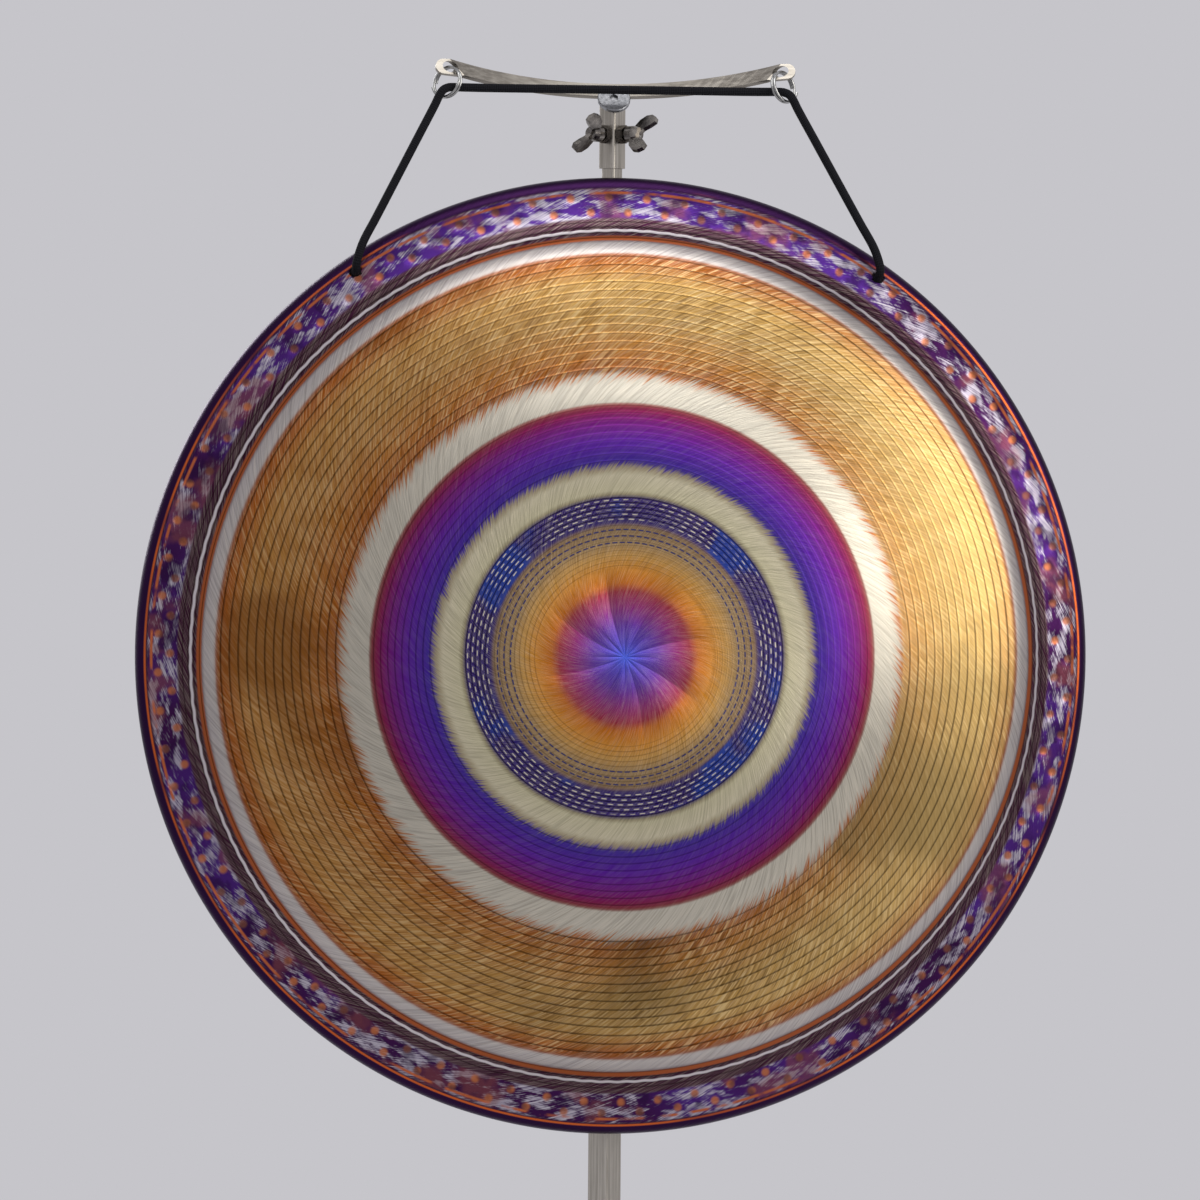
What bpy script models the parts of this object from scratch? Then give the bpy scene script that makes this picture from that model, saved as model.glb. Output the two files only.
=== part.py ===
"""A round gong with a turned-back rim, hung by a cord from a bowed bar on a telescopic stand."""

from math import atan2, cos, hypot, pi, radians, sin, sqrt, tan

import bmesh
import bpy
import numpy as np
from mathutils import Matrix, Vector

# Gaps
SEAT_GAP = 0.0003
CORD_HOLE_CLEARANCE = 0.0006

# Gong plate: widths and rises of its bands, from the rim inwards
GONG_RADIUS = 0.300
GONG_CENTRE_HEIGHT = 0.950
PLATE_THICKNESS = 0.0015
SHOULDER_RADIUS = 0.008
RIM_DEPTH = 0.028
RIM_TAPER = 0.0035
HAMMERED_WIDTH = 0.018
HAMMERED_RISE = 0.0035
STEP_WIDTH = 0.023
STEP_RISE = 0.0175
LATHED_WIDTH = 0.077
LATHED_RISE = 0.0210
RAYED_WIDTH = 0.018
RAYED_RISE = 0.0050
PURPLE_WIDTH = 0.038
PURPLE_RISE = 0.0070
CENTRE_RISE = 0.0060
POINTS_PER_BAND = 2
SHOULDER_STEPS = 4
GONG_SEGMENTS = 96

# Cord and its knots
CORD_DIAMETER = 0.0054
CORD_BEVEL_STEPS = 2
CORD_HOLE_X = 0.1645
CORD_HOLE_FROM_RIM = 0.0100
CORD_BEND = 0.0110
CORD_POINT_SPACING = 0.0068
SHOULDER_GAP = 0.0010
CORD_SEAT_SHARE = 0.56
CORD_BACK = 0.0004
KNOT_RADIUS = 0.0062
KNOT_LENGTH = 0.0090

# The cord's bend over a ring's lower wire, from the ring's middle and the level run
CORD_BEND_ROUTE = (
    (0.0074, -0.0073, -0.0106),
    (0.0052, -0.0065, -0.0059),
    (0.0028, -0.0058, -0.0022),
    (-0.0008, -0.0036, -0.0003),
    (-0.0053, -0.0012, 0.0001),
    (-0.0110, -0.0002, 0.0001),
    (-0.0220, 0.0, 0.0),
    (-0.0500, 0.0, 0.0),
)

# Split rings
RING_OUTER_RADIUS = 0.0107
RING_WIRE = 0.0017
RING_COIL_GAP = 0.00048
RING_TURNS = 1.94
RING_ENDS_SHIFT = 0.25
RING_YAW = radians(40.0)
RING_LEAN = radians(17.0)
RING_HANG_ANGLE = radians(82.0)
RING_POINTS_PER_TURN = 24
RING_BEVEL_STEPS = 1

# Hanger bar
BAR_WIDTH = 0.010
BAR_THICKNESS = 0.003
BAR_BOW_RADIUS = 0.259
BAR_FOLD_AT = 0.1035
BAR_END_AT = 0.1165
BAR_TILT = radians(36.0)
TAB_FOLD = radians(25.0)
TAB_HOLE_AT = 0.1085
TAB_HOLE_UP = 0.0004
TAB_HOLE_RADIUS = 0.0038
BAR_STEPS = 30
TAB_STEPS = 12

# Hanger bolt
BOLT_SHANK_RADIUS = 0.0030
BOLT_HEAD_RADIUS = 0.0104
BOLT_HEAD_THICKNESS = 0.0024
BOLT_HEAD_EDGE = 0.0005
BOLT_SOCKET_ACROSS = 0.0050
BOLT_SOCKET_DEPTH = 0.0018
BOLT_SHANK_LENGTH = 0.0115
BOLT_FORWARD = 0.0041
BOLT_ABOVE_GONG = 0.0480

# Square tubes, all turned with a corner to the front
UPPER_SIDE = 0.0100
UPPER_WALL = 0.0010
TUBE_CLEARANCE = 0.0003
MIDDLE_WALL = 0.0010
LOWER_WALL = 0.0012
HUB_WALL = 0.0012
TUBE_CORNER = 0.0016
LOWER_TOP = 0.800
MIDDLE_BOTTOM = 0.620
MIDDLE_TOP = 1.070
UPPER_BOTTOM = 0.830

# Head sleeve
SLEEVE_WALL = 0.0010
SLEEVE_BELOW_BOLT = 0.0408
SLEEVE_ABOVE_BOLT = 0.0090
PLUG_BELOW_BOLT = 0.0120
HEAD_SCREW_BELOW_BOLT = 0.0195

# Wing screws and their nuts
SCREW_RADIUS = 0.0030
THREAD_CLEARANCE = 0.0003
NUT_ACROSS_FLATS = 0.0100
NUT_THICKNESS = 0.0050
SCREW_SHOWN = 0.0018
BOSS_RADIUS = 0.0052
BOSS_LENGTH = 0.0085
WING_START = 0.0030
WING_HEIGHT = 0.0150
WING_REACH = 0.0140
WING_THICKNESS = 0.0030
CLAMP_BELOW_TOP = 0.0120
WING_TWIST = radians(35.0)
HEAD_LEFT_TWIST = radians(55.0)
HEAD_RIGHT_TWIST = radians(55.0)
BACK_RIGHT = pi / 4
FRONT_LEFT = -3 * pi / 4
FRONT_RIGHT = -pi / 4

# Base
FOOT_HEIGHT = 0.0160
FOOT_RADIUS = 0.0110
FOOT_WAIST = 0.0090
FOOT_STEM_RADIUS = 0.0040
FOOT_STEM_LENGTH = 0.0060
FOOT_FROM_END = 0.0170
BASE_PLATE_SIDE = 0.0840
BASE_PLATE_THICKNESS = 0.0040
BASE_PLATE_CORNER = 0.0080
HUB_HEIGHT = 0.0750
LEG_REACH = 0.3300
LEG_SIDE = 0.0160
LEG_WALL = 0.0015
LEG_COUNT = 4
LEG_BOLT_AT = 0.0270
LEG_BOLT_HEAD = 0.0040
CAP_FLANGE = 0.0030
CAP_INSERT = 0.0100

CIRCLE_SEGMENTS = 24
CORNER_SEGMENTS = 3
CUT_MARGIN = 0.002

# Tube sides and places that follow from the sizes above
MIDDLE_SIDE = UPPER_SIDE + 2 * (TUBE_CLEARANCE + MIDDLE_WALL)
LOWER_SIDE = MIDDLE_SIDE + 2 * (TUBE_CLEARANCE + LOWER_WALL)
HUB_SIDE = LOWER_SIDE + 2 * (TUBE_CLEARANCE + HUB_WALL)
SLEEVE_SIDE = UPPER_SIDE + 2 * (TUBE_CLEARANCE + SLEEVE_WALL)
CORNER_CUT = TUBE_CORNER * (sqrt(2.0) - 1.0)
LOWER_CORNER = LOWER_SIDE / sqrt(2.0) - CORNER_CUT
RIM_REAR_Y = -(LOWER_CORNER + SEAT_GAP)
SHOULDER_Y = RIM_REAR_Y - RIM_DEPTH
CORD_HOLE_RISE = sqrt((GONG_RADIUS - CORD_HOLE_FROM_RIM) ** 2 - CORD_HOLE_X**2)
BOLT_Z = GONG_CENTRE_HEIGHT + GONG_RADIUS + BOLT_ABOVE_GONG
BOLT_POINT = Vector((0.0, -BOLT_FORWARD, BOLT_Z))
BAR_NORMAL = Vector((0.0, -cos(BAR_TILT), sin(BAR_TILT)))
BAR_UP = Vector((0.0, sin(BAR_TILT), cos(BAR_TILT)))
RIGHT = Vector((1.0, 0.0, 0.0))
UP = Vector((0.0, 0.0, 1.0))
PLATE_TOP = FOOT_HEIGHT
HUB_BOTTOM = PLATE_TOP + SEAT_GAP
HUB_TOP = HUB_BOTTOM + HUB_HEIGHT
UPPER_TOP = BOLT_Z - PLUG_BELOW_BOLT - SEAT_GAP
HEAD_SCREW_Z = BOLT_Z - HEAD_SCREW_BELOW_BOLT
KNOT_GAP = SEAT_GAP


def clear_scene():
    for old in list(bpy.data.objects):
        bpy.data.objects.remove(old, do_unlink=True)


def material(name, colour, roughness, metallic):
    made = bpy.data.materials.new(name)
    made.use_nodes = True
    shader = made.node_tree.nodes["Principled BSDF"]
    shader.inputs["Base Color"].default_value = (*colour, 1.0)
    shader.inputs["Roughness"].default_value = roughness
    shader.inputs["Metallic"].default_value = metallic
    return made


def gong_bronze():
    return material("gong_bronze", (0.62, 0.40, 0.16), 0.35, 1.0)


def black_cord(name):
    return material(name, (0.012, 0.012, 0.018), 0.75, 0.0)


def stainless(name):
    return material(name, (0.62, 0.61, 0.59), 0.30, 1.0)


def dark_steel(name):
    return material(name, (0.10, 0.10, 0.10), 0.35, 1.0)


def black_rubber(name):
    return material(name, (0.02, 0.02, 0.02), 0.85, 0.0)


def empty_at(name, place, parent=None):
    """An empty that carries the pieces of one moving body, on that body's joint."""
    holder = bpy.data.objects.new(name, None)
    bpy.context.collection.objects.link(holder)
    holder["world_place"] = tuple(place)
    attach(holder, parent, Vector(place))
    return holder


def attach(obj, parent, place):
    if parent is None:
        obj.location = place
    else:
        obj.parent = parent
        obj.location = place - Vector(parent["world_place"])


def mesh_object(name, points, faces, finish):
    """A closed, smooth-shaded mesh object with its normals pointing out."""
    mesh = bpy.data.meshes.new(name)
    mesh.from_pydata([tuple(p) for p in points], [], faces)
    work = bmesh.new()
    work.from_mesh(mesh)
    bmesh.ops.recalc_face_normals(work, faces=work.faces)
    work.to_mesh(mesh)
    work.free()
    mesh.shade_smooth()
    mesh.set_sharp_from_angle(angle=radians(35.0))
    obj = bpy.data.objects.new(name, mesh)
    bpy.context.collection.objects.link(obj)
    if finish is not None:
        mesh.materials.append(finish)
    return obj


def helper(obj, parent):
    """Makes an object a hidden cutter or an added shape in its parent's own frame."""
    obj.parent = parent
    obj.hide_render = True
    obj.display_type = "WIRE"
    return obj


def boolean(obj, other, operation):
    modifier = obj.modifiers.new(operation.title(), "BOOLEAN")
    modifier.operation = operation
    modifier.solver = "EXACT"
    modifier.object = helper(other, obj)


def lathe(name, profile, segments, finish):
    """Turns (radius, height) points about Z. A point at radius 0 closes the shape on the axis."""
    points, rings, faces = [], [], []
    for radius, height in profile:
        count = 1 if radius == 0.0 else segments
        rings.append(range(len(points), len(points) + count))
        for k in range(count):
            turn = 2 * pi * k / segments
            points.append((radius * cos(turn), radius * sin(turn), height))
    closed = profile[0][0] != 0.0
    pairs = list(zip(rings, rings[1:]))
    if closed:
        pairs.append((rings[-1], rings[0]))
    for a, b in pairs:
        for k in range(segments):
            j = (k + 1) % segments
            if len(a) == 1:
                faces.append((a[0], b[k], b[j]))
            elif len(b) == 1:
                faces.append((a[k], b[0], a[j]))
            else:
                faces.append((a[k], b[k], b[j], a[j]))
    return mesh_object(name, points, faces, finish)


def rounded_square(side, corner):
    """The outline of a square with round corners, as points in X and Y."""
    reach = side / 2 - corner
    outline = []
    for quarter in range(4):
        centre_turn = pi / 4 + quarter * pi / 2
        cx = reach * sqrt(2.0) * cos(centre_turn)
        cy = reach * sqrt(2.0) * sin(centre_turn)
        for k in range(CORNER_SEGMENTS + 1):
            turn = quarter * pi / 2 + (pi / 2) * k / CORNER_SEGMENTS
            outline.append((cx + corner * cos(turn), cy + corner * sin(turn)))
    return outline


def circle(radius, count=CIRCLE_SEGMENTS):
    return [(radius * cos(2 * pi * k / count), radius * sin(2 * pi * k / count)) for k in range(count)]


def hexagon(across_flats, count=CIRCLE_SEGMENTS):
    """A hexagon's outline, with as many points as the circle that it is joined to."""
    outline = []
    for k in range(count):
        turn = 2 * pi * k / count
        side_turn = (turn + pi / 6) % (pi / 3) - pi / 6
        radius = across_flats / 2 / cos(side_turn)
        outline.append((radius * cos(turn), radius * sin(turn)))
    return outline


def prism(name, outline, low, high, finish=None):
    count = len(outline)
    points = [(x, y, low) for x, y in outline] + [(x, y, high) for x, y in outline]
    faces = [(k, (k + 1) % count, count + (k + 1) % count, count + k) for k in range(count)]
    faces.append(tuple(reversed(range(count))))
    faces.append(tuple(range(count, 2 * count)))
    return mesh_object(name, points, faces, finish)


def hollow_prism(name, outer, inner, low, high, finish):
    """A prism with a bore right through. Both outlines have the same number of points."""
    count = len(outer)
    points = [(x, y, z) for z in (low, high) for loop in (outer, inner) for x, y in loop]
    faces = []
    for k in range(count):
        j = (k + 1) % count
        faces.append((k, j, 2 * count + j, 2 * count + k))
        faces.append((count + k, 3 * count + k, 3 * count + j, count + j))
        faces.append((k, count + k, count + j, j))
        faces.append((2 * count + k, 2 * count + j, 3 * count + j, 3 * count + k))
    return mesh_object(name, points, faces, finish)


def square_tube(name, side, wall, low, high, finish):
    """An upright square tube about the origin, turned with a corner to the front."""
    outer = rounded_square(side, TUBE_CORNER)
    inner = rounded_square(side - 2 * wall, max(TUBE_CORNER - wall, TUBE_CORNER / 4))
    tube = hollow_prism(name, outer, inner, low, high, finish)
    tube.rotation_euler.z = pi / 4
    return tube


def drill(obj, radius, start, direction, length):
    """Cuts a round hole in an object, given in the object's own frame."""
    cutter = prism(obj.name + "_drill", circle(radius), 0.0, length)
    cutter.rotation_mode = "QUATERNION"
    cutter.rotation_quaternion = Vector(direction).to_track_quat("Z", "Y")
    cutter.location = start
    boolean(obj, cutter, "DIFFERENCE")


def smooth_curve(stations, per_span, start_slope=None, end_slope=None):
    """Points on a monotone cubic through (x, y) stations."""
    x = np.array([s[0] for s in stations])
    y = np.array([s[1] for s in stations])
    secant = np.diff(y) / np.diff(x)
    slope = np.empty(len(x))
    slope[0] = secant[0] if start_slope is None else start_slope
    slope[-1] = secant[-1] if end_slope is None else end_slope
    for k in range(1, len(x) - 1):
        a, b = secant[k - 1], secant[k]
        slope[k] = 0.0 if a * b <= 0 else 2 * a * b / (a + b)
    found = []
    for k in range(len(x) - 1):
        width = x[k + 1] - x[k]
        for step in range(per_span):
            t = step / per_span
            found.append((
                x[k] + t * width,
                (2 * t**3 - 3 * t**2 + 1) * y[k] + (t**3 - 2 * t**2 + t) * width * slope[k]
                + (3 * t**2 - 2 * t**3) * y[k + 1] + (t**3 - t**2) * width * slope[k + 1],
            ))
    found.append((x[-1], y[-1]))
    return found


def face_stations():
    """(radius, rise) where the gong's bands meet, from the shoulder to the centre."""
    radius, rise = GONG_RADIUS - SHOULDER_RADIUS, 0.0
    stations = [(radius, rise)]
    for width, climb in (
        (HAMMERED_WIDTH, HAMMERED_RISE),
        (STEP_WIDTH, STEP_RISE),
        (LATHED_WIDTH, LATHED_RISE),
        (RAYED_WIDTH, RAYED_RISE),
        (PURPLE_WIDTH, PURPLE_RISE),
    ):
        radius, rise = radius - width, rise + climb
        stations.append((radius, rise))
    stations.append((0.0, rise + CENTRE_RISE))
    return stations


def face_curve(per_band=POINTS_PER_BAND):
    """The front of the gong's face as (radius, rise), from the centre to the shoulder."""
    stations = [(r, h) for r, h in reversed(face_stations())]
    return smooth_curve(stations, per_band, start_slope=0.0, end_slope=0.0)


def offset_inwards(curve, depth):
    """The same curve moved back through the plate, along its normals."""
    moved = []
    for k, (r, h) in enumerate(curve):
        before = curve[max(k - 1, 0)]
        after = curve[min(k + 1, len(curve) - 1)]
        run, climb = after[0] - before[0], after[1] - before[1]
        length = hypot(run, climb)
        moved.append((0.0 if r == 0.0 else r + depth * climb / length, h - depth * run / length))
    return moved


def gong_profile():
    """The closed section of the plate: out along its front, round the rim and back behind it."""
    shoulder = GONG_RADIUS - SHOULDER_RADIUS
    inner_shoulder = SHOULDER_RADIUS - PLATE_THICKNESS
    front = face_curve()
    back = offset_inwards(front, PLATE_THICKNESS)
    outer_arc, inner_arc = [], []
    lean = atan2(RIM_TAPER, RIM_DEPTH - SHOULDER_RADIUS)
    for k in range(1, SHOULDER_STEPS + 1):
        turn = (pi / 2) - (pi / 2 + lean) * k / SHOULDER_STEPS
        for arc, radius in ((outer_arc, SHOULDER_RADIUS), (inner_arc, inner_shoulder)):
            arc.append((shoulder + radius * cos(turn), radius * sin(turn) - SHOULDER_RADIUS))
    drop = RIM_DEPTH + outer_arc[-1][1]
    edge = outer_arc[-1][0] - drop * tan(lean)
    rim = [(edge, -RIM_DEPTH), (edge - PLATE_THICKNESS / cos(lean), -RIM_DEPTH)]
    back[-1] = (shoulder, -PLATE_THICKNESS)
    return front + outer_arc + rim + inner_arc[::-1] + back[::-1]


def gong_plate(parent):
    plate = lathe("gong_plate", gong_profile(), GONG_SEGMENTS, gong_bronze())
    attach(plate, parent, Vector((0.0, SHOULDER_Y, GONG_CENTRE_HEIGHT)))
    plate.rotation_euler.x = pi / 2
    radius = CORD_DIAMETER / 2 + CORD_HOLE_CLEARANCE
    for side in (-1, 1):
        start = Vector((side * CORD_HOLE_X, CORD_HOLE_RISE, -SHOULDER_RADIUS))
        drill(plate, radius, start, (0, 0, 1), 2 * SHOULDER_RADIUS)
    return plate


def bar_place(along, up, out):
    """A point of the hanger bar from its place on the flat strip, before the bar was folded and bowed."""
    point = Vector((abs(along), up, out))
    fold_run = (point.x - BAR_FOLD_AT - up) / sqrt(2.0)
    if fold_run > 0.0:
        across = (point.x - BAR_FOLD_AT + up) / sqrt(2.0)
        run = fold_run * cos(TAB_FOLD) + out * sin(TAB_FOLD)
        lift = out * cos(TAB_FOLD) - fold_run * sin(TAB_FOLD)
        point = Vector((BAR_FOLD_AT + (across + run) / sqrt(2.0), (across - run) / sqrt(2.0), lift))
    turn = point.x / BAR_BOW_RADIUS
    reach = BAR_BOW_RADIUS - point.z
    sideways = reach * sin(turn) * (1 if along >= 0 else -1)
    bow = BAR_BOW_RADIUS - reach * cos(turn)
    return bar_middle() + RIGHT * sideways + BAR_UP * point.y + BAR_NORMAL * bow


def bar_middle():
    """The middle of the bar, which rests on the bolt's shank and on the sleeve's sloped face."""
    up = BOLT_SHANK_RADIUS + SEAT_GAP + BAR_WIDTH / 2
    out = SEAT_GAP + BAR_THICKNESS / 2
    return BOLT_POINT + BAR_UP * up + BAR_NORMAL * out


def tab_width(start):
    """The lowest and highest place on the round-ended strip along a line at 45 degrees."""
    half = BAR_WIDTH / 2
    gone = start - (BAR_END_AT - half)
    inside = 2 * half**2 - gone**2
    low, high = -half, half
    if inside > 0.0:
        root_low, root_high = (-gone - sqrt(inside)) / 2, (-gone + sqrt(inside)) / 2
        if start + high > BAR_END_AT - half:
            high = min(half, root_high)
        if start + low > BAR_END_AT - half:
            low = max(-half, root_low)
    return low, high


def bar_columns():
    """(start, shear, low, high) of each line across one half of the strip, from its middle to its tip."""
    half = BAR_WIDTH / 2
    columns = []
    for k in range(BAR_STEPS // 2 + 1):
        share = k / (BAR_STEPS // 2)
        columns.append((BAR_FOLD_AT * share, share, -half, half))
    tip = BAR_END_AT - half + half * sqrt(2.0)
    for k in range(1, TAB_STEPS):
        start = BAR_FOLD_AT + (tip - BAR_FOLD_AT) * sin(k / TAB_STEPS * pi / 2)
        low, high = tab_width(start)
        columns.append((start, 1.0, low, high))
    return columns


def hanger_bar(parent):
    """A flat strip bowed to an arc, whose round ends are folded back along a line at 45 degrees."""
    columns = bar_columns()
    half_thickness = BAR_THICKNESS / 2
    points, faces = [], []
    ordered = [(-1, c) for c in reversed(columns[1:])] + [(1, c) for c in columns]
    for side, (start, shear, low, high) in ordered:
        section = ((low, -1), (low, 1), (high, 1), (high, -1))
        for up, face in section:
            points.append(bar_place(side * (start + shear * up), up, face * half_thickness))
    for k in range(len(ordered) - 1):
        for j in range(4):
            a, b = 4 * k + j, 4 * k + (j + 1) % 4
            faces.append((a, b, b + 4, a + 4))
    last = 4 * (len(ordered) - 1)
    faces.append((0, 1, 2, 3))
    faces.append((last, last + 1, last + 2, last + 3))
    origin = bar_middle()
    bar = mesh_object("hanger_bar", [p - origin for p in points], faces, stainless("bar_steel"))
    attach(bar, parent, origin)
    for side in (-1, 1):
        along = ring_wire_direction(side)
        depth = BAR_WIDTH
        drill(bar, TAB_HOLE_RADIUS, tab_hole(side) - origin - along * depth, along, 2 * depth)
    return bar


def tab_hole(side):
    """The centre of the hole in the bar's end."""
    return bar_place(side * TAB_HOLE_AT, TAB_HOLE_UP, 0.0)


def ring_frame(side):
    """The ring's centre, its sideways and upward directions in its plane, and its plane's normal."""
    inward = Vector((-side * cos(RING_YAW), -sin(RING_YAW), 0.0))
    lean = Matrix.Rotation(-RING_LEAN, 3, "X")
    inward = lean @ inward
    upward = lean @ UP
    radius = RING_OUTER_RADIUS - RING_WIRE / 2
    to_hole = inward * cos(RING_HANG_ANGLE) + upward * sin(RING_HANG_ANGLE)
    normal = inward.cross(upward).normalized() * side
    return tab_hole(side) - to_hole * radius, inward, upward, normal


def ring_wire_direction(side):
    """The direction of the ring's wire where it passes through the bar."""
    _, inward, upward, _ = ring_frame(side)
    return upward * cos(RING_HANG_ANGLE) - inward * sin(RING_HANG_ANGLE)


def ring_points(side):
    """The centre line of a split ring: nearly two turns of wire, side by side."""
    centre, inward, upward, normal = ring_frame(side)
    radius = RING_OUTER_RADIUS - RING_WIRE / 2
    pitch = RING_WIRE + RING_COIL_GAP
    count = int(RING_TURNS * RING_POINTS_PER_TURN) + 1
    found = []
    for k in range(count):
        turns = RING_TURNS * (k / (count - 1) - 0.5)
        turn = pi + 2 * pi * turns
        found.append(
            centre + (inward * cos(turn) + upward * sin(turn)) * radius
            + normal * pitch * (turns + RING_ENDS_SHIFT)
        )
    return found


def cord_pivot():
    """The middle of the cord between the two rings, about which the gong swings."""
    centre, inward, upward, _ = ring_frame(1)
    inner = RING_OUTER_RADIUS - RING_WIRE
    drop = inner - CORD_DIAMETER / 2 - SEAT_GAP
    place = centre - UP * drop * CORD_SEAT_SHARE + Vector((0.0, CORD_BACK, 0.0))
    return Vector((0.0, place.y, place.z))


def cord_route():
    """The cord's own points, from the left knot over both rings to the right knot."""
    pivot = cord_pivot()
    corner = Vector((ring_frame(1)[0].x, pivot.y, pivot.z))
    hole_z = GONG_CENTRE_HEIGHT + CORD_HOLE_RISE
    bend = CORD_BEND - SHOULDER_GAP
    low = Vector((CORD_HOLE_X, SHOULDER_Y - CORD_BEND, hole_z + bend))
    top = corner + Vector(CORD_BEND_ROUTE[0])
    half = [Vector((CORD_HOLE_X, SHOULDER_Y + PLATE_THICKNESS + SEAT_GAP, hole_z))]
    for turn in (0.0, 30.0, 60.0):
        forward = SHOULDER_GAP + bend * sin(radians(turn))
        half.append(Vector((CORD_HOLE_X, SHOULDER_Y - forward, hole_z + bend * (1 - cos(radians(turn))))))
    for share in (0.93, 0.75, 0.55, 0.35, 0.20):
        half.append(top.lerp(low, share))
    half += [corner + Vector(offset) for offset in CORD_BEND_ROUTE]
    middle = [Vector((0.0, pivot.y, pivot.z))]
    left = [Vector((-p.x, p.y, p.z)) for p in half]
    return left + middle + half[::-1]


def through(route, spacing):
    """Evenly spaced points on a smooth curve through the route's points."""
    padded = [2 * route[0] - route[1]] + list(route) + [2 * route[-1] - route[-2]]
    fine = []
    for k in range(1, len(padded) - 2):
        a, b, c, d = padded[k - 1 : k + 3]
        ta, tb, tc = (sqrt((q - p).length) for p, q in ((a, b), (b, c), (c, d)))
        start = ((b - a) / ta - (c - a) / (ta + tb) + (c - b) / tb) * tb
        end = ((c - b) / tb - (d - b) / (tb + tc) + (d - c) / tc) * tb
        for step in range(16):
            t = step / 16
            fine.append(
                b * (2 * t**3 - 3 * t**2 + 1) + start * (t**3 - 2 * t**2 + t)
                + c * (3 * t**2 - 2 * t**3) + end * (t**3 - t**2)
            )
    fine.append(route[-1])
    travel = np.concatenate([[0.0], np.cumsum([(q - p).length for p, q in zip(fine, fine[1:])])])
    count = int(round(travel[-1] / spacing))
    found = []
    for target in np.linspace(0.0, travel[-1], count + 1):
        k = min(int(np.searchsorted(travel, target, side="right")) - 1, len(fine) - 2)
        share = (target - travel[k]) / (travel[k + 1] - travel[k])
        found.append(fine[k].lerp(fine[k + 1], float(share)))
    return found


def tube_along(name, points, diameter, level, finish, parent, origin):
    """A round tube with flat ends along the points."""
    curve = bpy.data.curves.new(name, "CURVE")
    curve.dimensions = "3D"
    curve.bevel_depth = diameter / 2
    curve.bevel_resolution = level
    curve.use_fill_caps = True
    spline = curve.splines.new("POLY")
    spline.points.add(len(points) - 1)
    for place, point in zip(spline.points, points):
        place.co = (*(point - origin), 1.0)
    curve.materials.append(finish)
    obj = bpy.data.objects.new(name, curve)
    bpy.context.collection.objects.link(obj)
    attach(obj, parent, origin)
    return obj


def least_gap(points, diameter):
    """The smallest gap between a winding's turns, from points more than half a turn apart."""
    placed = np.array([tuple(p) for p in points])
    apart = RING_POINTS_PER_TURN // 2
    least = min(
        np.linalg.norm(placed[k + apart :] - placed[k], axis=1).min()
        for k in range(len(placed) - apart)
    )
    return least - diameter


def split_ring(side, parent):
    name = "split_ring_left" if side < 0 else "split_ring_right"
    points = ring_points(side)
    print(f"{name}: least gap between its turns {least_gap(points, RING_WIRE) * 1000:.2f} mm")
    finish = stainless(name + "_steel")
    return tube_along(name, points, RING_WIRE, RING_BEVEL_STEPS, finish, parent, tab_hole(side))


def suspension_cord(parent):
    points = through(cord_route(), CORD_POINT_SPACING)
    length = sum((q - p).length for p, q in zip(points, points[1:]))
    print(f"cord: {length * 1000:.0f} mm long between its knots, {len(points)} points")
    return tube_along(
        "suspension_cord", points, CORD_DIAMETER, CORD_BEVEL_STEPS, black_cord("suspension_cord_fibre"),
        parent, cord_pivot(),
    )


def cord_knot(side, parent):
    """The stopper knot behind the plate, with its front flattened against it."""
    name = "cord_knot_left" if side < 0 else "cord_knot_right"
    flat = CORD_DIAMETER / 2 + CORD_HOLE_CLEARANCE
    profile = [(0.0, 0.0), (flat, 0.0)]
    for k in range(1, 6):
        turn = pi / 2 - pi * k / 6
        profile.append((
            max(flat * 0.2, KNOT_RADIUS * cos(turn) ** 0.8),
            KNOT_LENGTH * (0.5 - 0.5 * sin(turn)),
        ))
    profile.append((0.0, KNOT_LENGTH))
    knot = lathe(name, profile, CIRCLE_SEGMENTS // 2, black_cord(name + "_fibre"))
    start = SHOULDER_Y + PLATE_THICKNESS + SEAT_GAP + KNOT_GAP
    attach(knot, parent, Vector((side * CORD_HOLE_X, start, GONG_CENTRE_HEIGHT + CORD_HOLE_RISE)))
    knot.rotation_euler.x = -pi / 2
    return knot


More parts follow.
